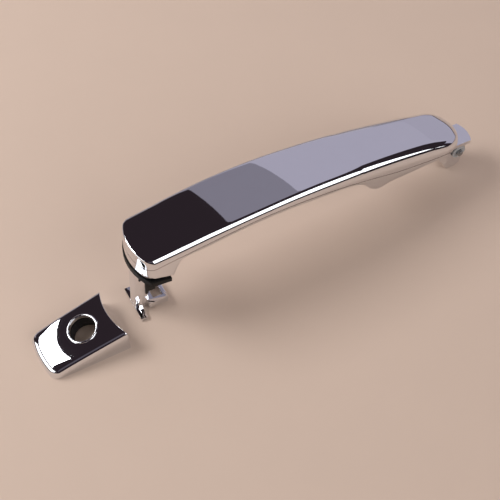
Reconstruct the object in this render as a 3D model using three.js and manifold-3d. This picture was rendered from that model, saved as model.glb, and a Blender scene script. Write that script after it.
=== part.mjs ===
// Exterior car door pull handle with its separate key-cylinder cover, laid out as a spare-part set.
// The grip is two plated shells screwed round a stiffening beam. A leg with a T-shaped foot goes
// through the door skin at the rear, and a hinge arm swings on a steel pin at the front.
// Millimetres, +Z up, +X from the rear of the handle to its hinge. The set stands on z = 0.

import * as THREE from "three";
import { mergeVertices } from "three/addons/utils/BufferGeometryUtils.js";
import Module from "manifold-3d";

const wasm = await Module();
wasm.setup();

// ---------------------------------------------------------------------------------------------
// Driving dimensions of the handle. In its own frame x runs from the rear end to the hinge,
// y across, and z is the height over the door skin.
// ---------------------------------------------------------------------------------------------
const GRIP_LENGTH = 204.8;
const GRIP_HALF_WIDTH = 17.8;
const ARCH_HEIGHT = 26;
const REAR_ROUNDING = 27; // radius of the rear end in plan, matched by the cover
const FRONT_ROUNDING = 17; // length over which the front end rounds off in plan
const REAR_OVERHANG = 1.3; // rear end of the grip over the frame's origin
const TOP_CROWN = 1.1;
const BELLY = 1.2; // how far the finger side bulges down at its middle
const WALL = 2;
const GAP = 0.3; // between pieces that touch
const PARTING_HEIGHT = 3.4; // of the parting line over the lower edge of the grip

const FOOT_LENGTH = 16.9; // rear foot, along the handle
const FOOT_LIFT = 4.6; // lower face of the rear foot over the door skin, at its rear
const FOOT_RAKE = 0.2; // how fast that face falls towards the front
const FRONT_FOOT_LENGTH = 61.8;
const FRONT_FOOT_START = GRIP_LENGTH - FRONT_FOOT_LENGTH;
const FRONT_FOOT_LIFT = 3;
const FRONT_TOE_LIFT = 1.4;
const EDGE_RADIUS_REAR = 3; // upper edge of the grip
const EDGE_RADIUS = 5;
const EDGE_RADIUS_FRONT = 3.6;
const LOWER_EDGE_RADIUS = 2.2;
const CORE_CLEARANCE = 0.8;
const CORE_HALF_WIDTH = 10;
const CORE_NOSE_HALF_WIDTH = 6.5; // in the front foot

const LEG_DEPTH = 38.8; // crossbar's lower face below the door skin
const LEG_START = 2.8;
const LEG_THICKNESS = 6;
const LEG_WIDTH = 6.8;
const CROSSBAR_LENGTH = 22;
const CROSSBAR_WIDTH = 3.8;
const CROSSBAR_THICKNESS = 2;
const HOOK_LENGTH = 10.4;
const HOOK_WIDTH = 12.4;
const HOOK_SPREAD = 1.6; // how much thicker the leg grows towards its foot
const HOOK_HEIGHT = 4.6;
const HOOK_LIFT = 1.3; // over the crossbar's lower face, so the tilted handle stands clear of it
const HOOK_WINDOW_LENGTH = 5.4;
const HOOK_WINDOW_WIDTH = 7;
const FLANGE_THICKNESS = 2.4;
const GUSSET_HEIGHT = 5.4; // curved webs between the leg and the crossbar's ends
const GUSSET_THICKNESS = 1.8;

const PIN_RADIUS = 1.9;
const PIN_LENGTH = 16;
const PIN_REACH = GRIP_LENGTH + 4.7; // pin axis from the rear end of the grip
const PIN_DROP = 10.4; // pin axis below the door skin
const ARM_DEPTH = 24.4; // lower end of the arm below the door skin
const ARM_WIDTH = 10;
const TAB_LENGTH = GRIP_LENGTH + 12.2; // front end of the arm's tab from the rear end of the grip
const TAB_HALF_WIDTH = 7.1;
const TAB_ROUNDING = 14; // radius of the tab's front end in plan
const TAB_DROP = 1.8;
const TAB_THICKNESS = 2.5;
const BUSH_WALL = 1;

const SCREW_RADIUS = 1.6;
const SCREW_HEAD_RADIUS = 2.9;
const SCREW_HEAD_HEIGHT = 1.9;
const BOSS_RADIUS = 3.4;
const SCREW_CLEARANCE = 0.3;
const LEG_SCREW_X = 11.6; // two screws abreast hold the leg
const LEG_SCREW_Y = 8.7;
const ARM_SCREWS_X = [GRIP_LENGTH - 25.8, GRIP_LENGTH - 13.8];
const SHELL_SCREWS_X = [FRONT_FOOT_START + 7.5, FRONT_FOOT_START + 22];
const HEAD_SEAT = 2.2; // depth of the pocket for a shell screw's head
const PAD_RADIUS = 4.7; // round each of those pockets
const FLOOR_PAD = 2.2; // of the rear foot over the leg's flange

const GASKET_REAR_THICKNESS = 4;
const GASKET_OVERHANG = 0.5;
const GASKET_CLEARANCE = 0.9; // round the leg, which slides through when the grip is pulled
const GASKET_TAPER = 0.07; // how fast the gasket thins towards its front
const LOCATING_TAB_Y = -8; // middle of the tab that hangs beside the leg
const LOCATING_TAB_THICKNESS = 1.2;
const LOCATING_TAB_WIDTH = 5.3;
const LOCATING_TAB_DEPTH = 16.4;
const LOCATING_TAB_TONGUE = [1.6, 1.9]; // width and length of the narrow end of the tab

// Driving dimensions of the cover. In its own frame x = 0 is at the tips of its hollowed front
// end and x falls towards its rear, and z = 0 is its rim, which lies on the door skin.
const COVER_LENGTH = 45.4;
const COVER_FRONT_HALF_WIDTH = 15.9;
const COVER_REAR_HALF_WIDTH = 14.6;
const COVER_FRONT_HEIGHT = 15.3;
const COVER_REAR_HEIGHT = 4.8;
const COVER_WALL = 1.7;
const COVER_EDGE_RADIUS = 3;
const COVER_CORNER = 4.5; // length over which the rear corners round off in plan
const COVER_REAR_ROUNDING = 60;
const HOLLOW_ROUNDING = 1.4 * REAR_ROUNDING; // of the front end, flatter than the grip's rear end
const HOLLOW_DEPTH = 4.6;
const HOLLOW_SHIFT = 2.3; // of both ends' middles to one side of the cover, which lies askew
const KEY_HOLE_RADIUS = 7.2;
const KEY_HOLE_SETBACK = 19.3; // hole axis from the tips of the front end
const RIM_WIDTH = 1.2;
const RIM_HEIGHT = 0.5;
const SEAL_THICKNESS = 1;
const COLLAR_WALL = 1.2;
const CARRIER_PLATE = [1.3, 2.9]; // lower and upper face of the carrier, over the cover's rim
const POST_WIDTH = 4.8;
const POST_THICKNESS = 1.2;
const CLIP_TOP = 7.6;
const CLIP_STRIP = 0.5;
const COVER_SCREW_RADIUS = 1.1;
const COVER_SCREW_HEAD_RADIUS = 2.1;
const COVER_SCREW_Y = 7;
const COVER_SCREW_SETBACK = 0.78; // as a share of the cover's length
const COVER_BOSS_RADIUS = 2.6;

// Where the cover lies beside the handle: its front tips behind the crossbar, its offset to the side.
const COVER_DISTANCE = 11.8;
const COVER_OFFSET = -6.5;

const ROUND_STEPS = 18;

// ---------------------------------------------------------------------------------------------
// Materials
// ---------------------------------------------------------------------------------------------
const finish = (color, roughness, metalness) =>
  new THREE.MeshStandardMaterial({ color, roughness, metalness });
const chromePlate = () => finish(0xd9dade, 0.05, 1);
const blackRubber = () => finish(0x141415, 0.55, 0);
const blackNylon = () => finish(0x1d1e20, 0.5, 0);
const springSteel = () => finish(0x8f9498, 0.3, 1);
const zincScrew = () => finish(0xb9bcc0, 0.35, 1);
const acetal = () => finish(0xa9abad, 0.4, 0);

// ---------------------------------------------------------------------------------------------
// Solids
// ---------------------------------------------------------------------------------------------
function solidOf(geometry) {
  const bare = geometry.index ? geometry.toNonIndexed() : geometry.clone();
  bare.deleteAttribute("normal");
  bare.deleteAttribute("uv");
  const merged = mergeVertices(bare, 1e-4);
  const made = new wasm.Manifold(
    new wasm.Mesh({
      numProp: 3,
      vertProperties: new Float32Array(merged.attributes.position.array),
      triVerts: new Uint32Array(merged.index.array),
    }),
  );
  return made;
}

const union = (first, ...others) => others.reduce((all, next) => all.add(next), first);
const cutAway = (first, ...others) => others.reduce((all, next) => all.subtract(next), first);

function meshOf(name, solid, material) {
  const { vertProperties, triVerts } = solid.getMesh();
  const geometry = new THREE.BufferGeometry();
  geometry.setAttribute("position", new THREE.BufferAttribute(vertProperties, 3));
  geometry.setIndex(new THREE.BufferAttribute(triVerts, 1));
  geometry.computeVertexNormals();
  const mesh = new THREE.Mesh(geometry, material);
  mesh.name = name;
  return mesh;
}

function block([x0, x1], [y0, y1], [z0, z1]) {
  const geometry = new THREE.BoxGeometry(x1 - x0, y1 - y0, z1 - z0);
  geometry.translate((x0 + x1) / 2, (y0 + y1) / 2, (z0 + z1) / 2);
  return solidOf(geometry);
}

// A round bar along z from z0 to z1.
function bar(x, y, [z0, z1], radius, topRadius = radius) {
  const geometry = new THREE.CylinderGeometry(topRadius, radius, z1 - z0, ROUND_STEPS);
  geometry.rotateX(Math.PI / 2);
  geometry.translate(x, y, (z0 + z1) / 2);
  return solidOf(geometry);
}

// A round bar along y.
function crossBar(x, [y0, y1], z, radius) {
  const geometry = new THREE.CylinderGeometry(radius, radius, y1 - y0, ROUND_STEPS);
  geometry.translate(x, (y0 + y1) / 2, z);
  return solidOf(geometry);
}

// A plan outline (points in x and y) raised from z0 to z1.
function raised(points, [z0, z1]) {
  const outline = new THREE.Shape(points.map(([x, y]) => new THREE.Vector2(x, y)));
  const geometry = new THREE.ExtrudeGeometry(outline, { depth: z1 - z0, bevelEnabled: false });
  geometry.translate(0, 0, z0);
  return solidOf(geometry);
}

// A side outline (points in x and z) drawn out from y0 to y1.
function drawnAcross(points, [y0, y1]) {
  const outline = new THREE.Shape(points.map(([x, z]) => new THREE.Vector2(x, z)));
  const geometry = new THREE.ExtrudeGeometry(outline, { depth: y1 - y0, bevelEnabled: false });
  geometry.rotateX(Math.PI / 2);
  geometry.translate(0, y1, 0);
  return solidOf(geometry);
}

// A skin through rings of equal length, closed at both ends. Rings run from -x to +x, each
// anticlockwise when seen from +x.
function loft(rings) {
  const size = rings[0].length;
  const points = rings.flat();
  const faces = [];
  for (let ring = 0; ring + 1 < rings.length; ring++) {
    for (let i = 0; i < size; i++) {
      const a = ring * size + i;
      const b = ring * size + ((i + 1) % size);
      faces.push(a, b, b + size, a, b + size, a + size);
    }
  }
  const middle = (ring) =>
    ring.reduce((sum, p) => sum.add(p), new THREE.Vector3()).divideScalar(size);
  const last = (rings.length - 1) * size;
  points.push(middle(rings[0]), middle(rings.at(-1)));
  for (let i = 0; i < size; i++) {
    const next = (i + 1) % size;
    faces.push(points.length - 2, next, i);
    faces.push(points.length - 1, last + i, last + next);
  }
  const geometry = new THREE.BufferGeometry().setFromPoints(points);
  geometry.setIndex(faces);
  return solidOf(geometry);
}

// A smooth curve through knots [position, value], level beyond both ends.
function curveThrough(knots) {
  const slope = knots.map((_, i) => {
    const before = knots[Math.max(i - 1, 0)];
    const after = knots[Math.min(i + 1, knots.length - 1)];
    return (after[1] - before[1]) / (after[0] - before[0]);
  });
  return (position) => {
    const x = THREE.MathUtils.clamp(position, knots[0][0], knots.at(-1)[0]);
    const i = Math.max(1, knots.findIndex(([at]) => at >= x)) - 1;
    const [x0, y0] = knots[i];
    const [x1, y1] = knots[i + 1];
    const span = x1 - x0;
    const t = (x - x0) / span;
    const h00 = (1 + 2 * t) * (1 - t) ** 2;
    const h10 = t * (1 - t) ** 2;
    const h01 = t * t * (3 - 2 * t);
    const h11 = t * t * (t - 1);
    return h00 * y0 + h10 * span * slope[i] + h01 * y1 + h11 * span * slope[i + 1];
  };
}

// ---------------------------------------------------------------------------------------------
// The grip's form
// ---------------------------------------------------------------------------------------------
const along = (fraction) => fraction * GRIP_LENGTH;

// Height at which the side meets the rounded upper edge, before that rounding is taken off.
const topLine = curveThrough([
  [along(0), 0.685 * ARCH_HEIGHT],
  [along(0.1), 0.79 * ARCH_HEIGHT],
  [along(0.2), 0.905 * ARCH_HEIGHT],
  [along(0.3), 0.97 * ARCH_HEIGHT],
  [along(0.42), ARCH_HEIGHT],
  [along(0.55), 0.96 * ARCH_HEIGHT],
  [along(0.7), 0.855 * ARCH_HEIGHT],
  [along(0.85), 0.66 * ARCH_HEIGHT],
  [along(0.925), 0.51 * ARCH_HEIGHT],
  [along(1), 0.33 * ARCH_HEIGHT],
]);

const halfWidth = curveThrough([
  [along(0), 0.925 * GRIP_HALF_WIDTH],
  [along(0.1), 0.966 * GRIP_HALF_WIDTH],
  [along(0.25), GRIP_HALF_WIDTH],
  [along(0.48), 0.975 * GRIP_HALF_WIDTH],
  [along(0.7), 0.92 * GRIP_HALF_WIDTH],
  [along(0.85), 0.865 * GRIP_HALF_WIDTH],
  [along(1), 0.79 * GRIP_HALF_WIDTH],
]);

const edgeRadius = curveThrough([
  [along(0), EDGE_RADIUS_REAR],
  [along(0.25), EDGE_RADIUS],
  [along(0.85), EDGE_RADIUS],
  [along(1), EDGE_RADIUS_FRONT],
]);

const footHeight = (x) => FOOT_LIFT - FOOT_RAKE * x;

// Lower edge of the grip: the rear foot, the finger arch and the front foot.
const fingerArch = curveThrough([
  [FOOT_LENGTH, footHeight(FOOT_LENGTH)],
  [FOOT_LENGTH + 3.4, footHeight(FOOT_LENGTH) + 7.4],
  [FOOT_LENGTH + 6.6, 0.49 * ARCH_HEIGHT],
  [along(0.18), 0.58 * ARCH_HEIGHT],
  [along(0.28), 0.68 * ARCH_HEIGHT],
  [along(0.39), 0.71 * ARCH_HEIGHT],
  [along(0.5), 0.65 * ARCH_HEIGHT],
  [along(0.6), 0.57 * ARCH_HEIGHT],
  [FRONT_FOOT_START - 11, 0.44 * ARCH_HEIGHT],
  [FRONT_FOOT_START - 4, 0.16 * ARCH_HEIGHT],
  [FRONT_FOOT_START + 1, FRONT_TOE_LIFT],
  [FRONT_FOOT_START + 8, FRONT_FOOT_LIFT],
]);
const lowerLine = (x) => (x <= FOOT_LENGTH ? footHeight(x) : fingerArch(x));

const reachBack = (radius, y) => radius - Math.sqrt(Math.max(radius ** 2 - y ** 2, 0));

// How much of its width the front end keeps at x.
function frontKeeps(x, end) {
  const into = THREE.MathUtils.clamp((x - end + FRONT_ROUNDING) / FRONT_ROUNDING, 0, 1);
  return Math.max(1 - into ** 2.6, 0) ** (1 / 2.2);
}

// One ring of the grip at x, drawn in by inset all round. Its lower corner has its own radius.
function gripRing(x, inset, end) {
  const near = [-inset, 0, inset];
  const keeps = frontKeeps(x, end);
  const half = Math.max((halfWidth(x) - inset) * keeps, 2.2);
  const tipDrop = 2.4 * (1 - keeps);
  const top = Math.min(...near.map((d) => topLine(x + d))) - inset - tipDrop;
  const low = Math.max(...near.map((d) => lowerLine(x + d))) + inset;
  const room = (top - low) / 2;
  const upper = Math.min(Math.max(edgeRadius(x) - inset, 0.8), room, half * 0.8);
  const lower = Math.min(LOWER_EDGE_RADIUS, room * 0.7, half * 0.5);
  const belly = x > FOOT_LENGTH && x < FRONT_FOOT_START ? BELLY : 0;
  const bow = (y, height) => height * (1 - (y / half) ** 2);
  const quarter = (steps) => Array.from({ length: steps + 1 }, (_, i) => (i * Math.PI) / 2 / steps);
  const ring = [0, 0.5].map((share) => {
    const y = share * (half - upper);
    return [y, top + bow(y, TOP_CROWN)];
  });
  const shoulder = bow(half - upper, TOP_CROWN);
  for (const angle of quarter(inset > 0 ? 2 : 4)) {
    const rise = upper * (1 - Math.cos(angle));
    const y = half - upper + upper * Math.sin(angle);
    ring.push([y, top - rise + shoulder * Math.cos(angle) ** 2]);
  }
  const sag = bow(half - lower, belly);
  for (const angle of quarter(inset > 0 ? 1 : 2)) {
    const y = half - lower + lower * Math.cos(angle);
    ring.push([y, low + lower * (1 - Math.sin(angle)) - sag * Math.sin(angle) ** 2]);
  }
  ring.push([0, low - belly]);
  const fade = Math.max(1 - x / 24, 0);
  const place = ([y, z]) =>
    new THREE.Vector3(x + fade * reachBack(REAR_ROUNDING - inset, y), y, z);
  const mirrored = ring.slice(1, -1).reverse().map(([y, z]) => [-y, z]);
  return [...ring, ...mirrored].map(place).reverse();
}

function gripForm(inset) {
  const start = REAR_OVERHANG + inset;
  const end = GRIP_LENGTH - 4 * inset; // the thin front end is solid
  const thin = inset > 0 ? 0.6 : 1; // the hollow needs fewer rings than the visible skin
  const between = (from, to, count) => {
    const steps = Math.ceil(count * thin);
    return Array.from({ length: steps }, (_, i) => from + ((to - from) * i) / steps);
  };
  const stations = [
    ...between(start, FOOT_LENGTH, 3),
    ...between(FOOT_LENGTH, FOOT_LENGTH + 8, 4),
    ...between(FOOT_LENGTH + 8, FRONT_FOOT_START - 20, 8),
    ...between(FRONT_FOOT_START - 20, FRONT_FOOT_START + 8, 7),
    ...between(FRONT_FOOT_START + 8, end - FRONT_ROUNDING, 3),
    ...between(end - FRONT_ROUNDING, end - 1.5, 5),
    end - 1.5,
    end - 0.5,
    end,
  ];
  return loft(stations.map((x) => gripRing(x, inset, end)));
}

// All that lies above the parting line, which follows the lower edge of the finger arch.
const partingLine = curveThrough([
  [0, footHeight(0) + 6.6],
  [FOOT_LENGTH + 6, 0.49 * ARCH_HEIGHT + PARTING_HEIGHT],
  [along(0.28), 0.68 * ARCH_HEIGHT + PARTING_HEIGHT],
  [along(0.39), 0.71 * ARCH_HEIGHT + PARTING_HEIGHT],
  [along(0.55), 0.61 * ARCH_HEIGHT + PARTING_HEIGHT],
  [FRONT_FOOT_START - 6, 0.44 * ARCH_HEIGHT + PARTING_HEIGHT],
  [FRONT_FOOT_START + 14, FRONT_FOOT_LIFT + 2.2 * PARTING_HEIGHT],
  [GRIP_LENGTH - FRONT_ROUNDING, FRONT_FOOT_LIFT + PARTING_HEIGHT],
  [GRIP_LENGTH, FRONT_FOOT_LIFT + 0.5 * PARTING_HEIGHT],
]);
function aboveParting(lift) {
  const start = -4;
  const stop = GRIP_LENGTH + 4;
  const steps = 24;
  const line = Array.from({ length: steps + 1 }, (_, i) => {
    const x = start + ((stop - start) * i) / steps;
    return [x, partingLine(x) + lift];
  });
  const roof = ARCH_HEIGHT + 20;
  const side = GRIP_HALF_WIDTH + 5;
  return drawnAcross([...line, [stop, roof], [start, roof]], [-side, side]);
}

// ---------------------------------------------------------------------------------------------
// Screw stacks: each screw comes up from the door side and bites in a boss of the outer shell
// ---------------------------------------------------------------------------------------------

const bossFloor = (x) => topLine(x) - WALL - CORE_CLEARANCE - 2.2;
const screwTip = (x) => topLine(x) - WALL - 0.8;
// The heads are level and the flange is raked, so the lower side of each head sets its seat.
const LEG_SCREW_SEAT = footHeight(LEG_SCREW_X + SCREW_HEAD_RADIUS) - GAP;
const stacks = {
  leg_screw_1: { x: LEG_SCREW_X, y: -LEG_SCREW_Y, seat: LEG_SCREW_SEAT },
  leg_screw_2: { x: LEG_SCREW_X, y: LEG_SCREW_Y, seat: LEG_SCREW_SEAT },
  arm_screw_1: { x: ARM_SCREWS_X[0], y: 0, seat: -TAB_DROP - TAB_THICKNESS - GAP },
  arm_screw_2: { x: ARM_SCREWS_X[1], y: 0, seat: -TAB_DROP - TAB_THICKNESS - GAP },
  shell_screw_1: { x: SHELL_SCREWS_X[0], y: 0, seat: FRONT_FOOT_LIFT + HEAD_SEAT },
  shell_screw_2: { x: SHELL_SCREWS_X[1], y: 0, seat: FRONT_FOOT_LIFT + HEAD_SEAT },
};

function screwSolid({ x, y, seat }, tip) {
  const head = bar(x, y, [seat - SCREW_HEAD_HEIGHT, seat], SCREW_HEAD_RADIUS, SCREW_HEAD_RADIUS);
  const shank = bar(x, y, [seat - 0.1, tip], SCREW_RADIUS, SCREW_RADIUS * 0.8);
  const slot = [seat - SCREW_HEAD_HEIGHT - 1, seat - SCREW_HEAD_HEIGHT + 0.9];
  const half = 0.62 * SCREW_HEAD_RADIUS;
  const cross = union(
    block([x - half, x + half], [y - 0.4, y + 0.4], slot),
    block([x - 0.4, x + 0.4], [y - half, y + half], slot),
  );
  return cutAway(union(head, shank), cross);
}
const screwHole = ({ x, y }, [z0, z1]) => bar(x, y, [z0, z1], SCREW_RADIUS + SCREW_CLEARANCE);

// ---------------------------------------------------------------------------------------------
// Pieces of the handle
// ---------------------------------------------------------------------------------------------
const HIGH = ARCH_HEIGHT + 10;
const LOW = -LEG_DEPTH - 10;

function gripOuterShell() {
  const skin = cutAway(gripForm(0).intersect(aboveParting(0)), gripForm(WALL));
  const inside = gripForm(WALL * 0.5);
  const bosses = Object.values(stacks).map(({ x, y }) =>
    bar(x, y, [bossFloor(x), HIGH], BOSS_RADIUS).intersect(inside),
  );
  const holes = Object.values(stacks).map((stack) =>
    screwHole(stack, [bossFloor(stack.x) - 1, screwTip(stack.x) + SCREW_CLEARANCE]),
  );
  return cutAway(union(skin, ...bosses), ...holes);
}

// An upright prism on the plan of the rear foot, drawn in by inset at its rear and its sides.
function footPlan(inset) {
  const half = halfWidth(0) - inset;
  const steps = 10;
  const outline = [[FOOT_LENGTH + 20, -half], [FOOT_LENGTH + 20, half]];
  for (let i = 0; i <= steps; i++) {
    const y = half * (1 - (2 * i) / steps);
    outline.push([REAR_OVERHANG + inset + reachBack(REAR_ROUNDING - inset, y), y]);
  }
  return raised(outline, [LOW, HIGH]);
}

// The rear foot's floor and the flange of the leg both follow the raked foot.
const raked = (from, to, [low, high], half) =>
  drawnAcross(
    [
      [from, footHeight(from) + low],
      [to, footHeight(to) + low],
      [to, footHeight(to) + high],
      [from, footHeight(from) + high],
    ],
    [-half, half],
  );
const FLANGE_START = LEG_START - 2;
const FLANGE_END = FOOT_LENGTH - 1.9;
const FLANGE_HALF = LEG_SCREW_Y + SCREW_HEAD_RADIUS + 0.2;

function gripInnerShell() {
  const form = gripForm(0);
  const hollow = gripForm(WALL);
  const padTop = FLANGE_THICKNESS + GAP + FLOOR_PAD;
  const floor = raked(0, FOOT_LENGTH + 4, [0, padTop], GRIP_HALF_WIDTH).intersect(form);
  const frontPads = SHELL_SCREWS_X.map((x) =>
    bar(x, 0, [FRONT_FOOT_LIFT + 0.1, FRONT_FOOT_LIFT + HEAD_SEAT + 2], PAD_RADIUS).intersect(form),
  );
  const shell = union(cutAway(form, aboveParting(-GAP), hollow), floor, ...frontPads);
  const recess = raked(
    FLANGE_START, FLANGE_END + GAP, [-2, FLANGE_THICKNESS + GAP], FLANGE_HALF + GAP,
  ).intersect(footPlan(WALL));
  const seats = SHELL_SCREWS_X.map((x) =>
    bar(x, 0, [LOW, FRONT_FOOT_LIFT + HEAD_SEAT + GAP], SCREW_HEAD_RADIUS + GAP),
  );
  const holes = Object.values(stacks).map((stack) => screwHole(stack, [LOW, HIGH]));
  return cutAway(shell, recess, ...seats, ...holes);
}

function coreBeam() {
  const nose = FRONT_FOOT_START - 6;
  const room = gripForm(WALL + CORE_CLEARANCE);
  const side = GRIP_HALF_WIDTH + 5;
  const shoulder = LEG_SCREW_Y + BOSS_RADIUS + 1;
  const start = 4 * WALL;
  const spine = union(
    block([start, nose + 1], [-CORE_HALF_WIDTH, CORE_HALF_WIDTH], [LOW, HIGH]),
    block([nose, GRIP_LENGTH - 10], [-CORE_NOSE_HALF_WIDTH, CORE_NOSE_HALF_WIDTH], [LOW, HIGH]),
    block([start, FOOT_LENGTH + 1], [-shoulder, shoulder], [LOW, HIGH]),
  );
  const floorPad = raked(-2, FOOT_LENGTH + 5, [-20, FLANGE_THICKNESS + FLOOR_PAD + 2 * GAP], side);
  const frontPads = SHELL_SCREWS_X.map((x) =>
    bar(x, 0, [LOW, FRONT_FOOT_LIFT + HEAD_SEAT + 2 + GAP], PAD_RADIUS + GAP),
  );
  const sockets = Object.values(stacks).map(({ x, y }) =>
    bar(x, y, [bossFloor(x) - GAP, HIGH], BOSS_RADIUS + GAP),
  );
  const holes = Object.values(stacks).map((stack) => screwHole(stack, [LOW, HIGH]));
  const windowPitch = 21;
  const windows = [];
  for (let x = FOOT_LENGTH + 22; x < nose - 12; x += windowPitch) {
    windows.push(block([x - 7.5, x + 7.5], [-5.5, 5.5], [LOW, HIGH]));
  }
  return cutAway(room.intersect(spine), floorPad, ...frontPads, ...sockets, ...holes, ...windows);
}

function pullLeg() {
  const rear = LEG_START;
  const front = LEG_START + LEG_THICKNESS;
  const half = LEG_WIDTH / 2;
  const foot = -LEG_DEPTH;
  const top = footHeight(rear) - GAP;
  const barStart = LEG_START - 0.2;
  const column = drawnAcross(
    [
      [rear, top],
      [rear, foot + 6],
      [rear - 0.2, foot + 0.5],
      [barStart + CROSSBAR_WIDTH, foot + 0.5],
      [front + HOOK_SPREAD, foot + HOOK_LIFT],
      [front + 0.9 * HOOK_SPREAD, foot + 9],
      [front, foot + 18],
      [front, top],
    ],
    [-half, half],
  );
  const crossbar = block(
    [barStart, barStart + CROSSBAR_WIDTH],
    [-CROSSBAR_LENGTH / 2, CROSSBAR_LENGTH / 2],
    [foot, foot + CROSSBAR_THICKNESS],
  );
  // Curved webs carry the crossbar's ends.
  const gusset = (side) => {
    const root = half - 0.5;
    const reach = CROSSBAR_LENGTH / 2 - 0.8 - root;
    const base = foot + CROSSBAR_THICKNESS - 0.2;
    const outline = [[root, base]];
    for (let i = 0; i <= 6; i++) {
      const angle = (i * Math.PI) / 12;
      outline.push([root + reach * (1 - Math.sin(angle)), base + GUSSET_HEIGHT * (1 - Math.cos(angle))]);
    }
    const shape = new THREE.Shape(outline.map(([y, z]) => new THREE.Vector2(side * y, z)));
    const geometry = new THREE.ExtrudeGeometry(shape, { depth: GUSSET_THICKNESS, bevelEnabled: false });
    geometry.rotateX(Math.PI / 2);
    geometry.rotateZ(Math.PI / 2);
    geometry.translate(barStart + CROSSBAR_WIDTH - GUSSET_THICKNESS - 0.3, 0, 0);
    return solidOf(geometry);
  };
  const hookStart = front + 0.5 * HOOK_SPREAD;
  const hookEnd = front + 1.4 + HOOK_LENGTH;
  const hookFoot = foot + HOOK_LIFT;
  const hook = block(
    [hookStart, hookEnd], [-HOOK_WIDTH / 2, HOOK_WIDTH / 2], [hookFoot, hookFoot + HOOK_HEIGHT],
  );
  const windowEnd = hookEnd - 2.2;
  const window = block(
    [windowEnd - HOOK_WINDOW_LENGTH, windowEnd],
    [-HOOK_WINDOW_WIDTH / 2, HOOK_WINDOW_WIDTH / 2],
    [LOW, 0],
  );
  const flange = union(
    raked(FLANGE_START, FLANGE_END, [0, FLANGE_THICKNESS], FLANGE_HALF),
    raked(FLANGE_START, front, [-1, 0.5], half),
  ).intersect(footPlan(WALL + GAP));
  const holes = [stacks.leg_screw_1, stacks.leg_screw_2].map((stack) => screwHole(stack, [LOW, HIGH]));
  return cutAway(union(column, crossbar, gusset(1), gusset(-1), hook, flange), window, ...holes);
}

function rearGasket() {
  const under = (x) => footHeight(x) - GAP;
  const thickness = (x) => GASKET_REAR_THICKNESS - GASKET_TAPER * x;
  const tail = FOOT_LENGTH + 0.8;
  const slab = drawnAcross(
    [
      [0, under(0) - thickness(0)],
      [tail, under(tail) - thickness(tail)],
      [tail, under(tail)],
      [0, under(0)],
    ],
    [-GRIP_HALF_WIDTH - 2, GRIP_HALF_WIDTH + 2],
  );
  const ends = block([-5, tail], [-GRIP_HALF_WIDTH * 2, GRIP_HALF_WIDTH * 2], [LOW, HIGH]);
  const half = FLANGE_HALF + 0.3;
  const opening = block([0, tail - 2.4], [-half, half], [LOW, HIGH]).intersect(
    footPlan(LEG_START - GASKET_CLEARANCE - REAR_OVERHANG),
  );
  const ring = cutAway(slab.intersect(footPlan(-GASKET_OVERHANG)).intersect(ends), opening);
  // The tab hangs beside the leg from a narrow bridge and finds its slot in the door.
  const tabStart = LEG_START + 3.8;
  const tabSide = [-1, 1].map((side) => LOCATING_TAB_Y + (side * LOCATING_TAB_THICKNESS) / 2);
  const [tongueWidth, tongueLength] = LOCATING_TAB_TONGUE;
  const tongueEnd = -LOCATING_TAB_DEPTH - tongueLength;
  const bridgeTop = footHeight(LEG_SCREW_X) - SCREW_HEAD_HEIGHT - 1.2;
  const bridge = [bridgeTop - LOCATING_TAB_THICKNESS, bridgeTop];
  const tab = union(
    block([tabStart, tabStart + LOCATING_TAB_WIDTH], tabSide, [-LOCATING_TAB_DEPTH, bridgeTop]),
    block([tabStart, tabStart + tongueWidth], tabSide, [tongueEnd, -LOCATING_TAB_DEPTH + 0.5]),
    block([tabStart, tabStart + 2.2], [-half - 1, tabSide[1]], bridge),
  );
  return union(ring, tab);
}

function hingeArm() {
  const plateTop = -TAB_DROP;
  const plateLow = plateTop - TAB_THICKNESS;
  const start = ARM_SCREWS_X[0] - 5.5;
  const outline = [[start, TAB_HALF_WIDTH], [start, -TAB_HALF_WIDTH]];
  for (let i = 0; i <= 8; i++) {
    const y = TAB_HALF_WIDTH * ((2 * i) / 8 - 1);
    outline.push([TAB_LENGTH - reachBack(TAB_ROUNDING, y), y]);
  }
  const plate = raised(outline, [plateLow, plateTop]);
  const pedestal = block(
    [start + 0.5, ARM_SCREWS_X[1] + 5],
    [-TAB_HALF_WIDTH + 1, TAB_HALF_WIDTH - 1],
    [plateTop - 0.5, FRONT_FOOT_LIFT - GAP],
  );
  const bearing = PIN_RADIUS + BUSH_WALL + 2 * GAP;
  const back = PIN_REACH - 7;
  const front = PIN_REACH + 4.6;
  const body = drawnAcross(
    [
      [back - 8, plateLow + 0.5],
      [back - 3, plateLow - 4],
      [back, -PIN_DROP - 4],
      [back + 0.4, -ARM_DEPTH + 3],
      [back + 2.4, -ARM_DEPTH],
      [front - 3.4, -ARM_DEPTH],
      [front - 0.6, -ARM_DEPTH + 2.6],
      [front, -PIN_DROP - 3],
      [front, plateLow + 0.5],
    ],
    [-ARM_WIDTH / 2, ARM_WIDTH / 2],
  );
  const bore = crossBar(PIN_REACH, [-ARM_WIDTH, ARM_WIDTH], -PIN_DROP, bearing);
  const holes = [stacks.arm_screw_1, stacks.arm_screw_2].map((stack) => screwHole(stack, [LOW, HIGH]));
  return cutAway(union(plate, pedestal, body), bore, ...holes);
}

function pivotBush(side) {
  const face = ARM_WIDTH / 2 + GAP;
  const span = (a, b) => (side > 0 ? [a, b] : [-b, -a]);
  const bushRadius = PIN_RADIUS + BUSH_WALL + GAP;
  return cutAway(
    union(
      crossBar(PIN_REACH, span(0.4, face + 0.2), -PIN_DROP, bushRadius),
      crossBar(PIN_REACH, span(face, face + 0.9), -PIN_DROP, bushRadius + 1.2),
    ),
    crossBar(PIN_REACH, span(-1, face + 2), -PIN_DROP, PIN_RADIUS + GAP),
  );
}

const pivotPin = () =>
  crossBar(PIN_REACH, [-PIN_LENGTH / 2, PIN_LENGTH / 2], -PIN_DROP, PIN_RADIUS);

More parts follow.
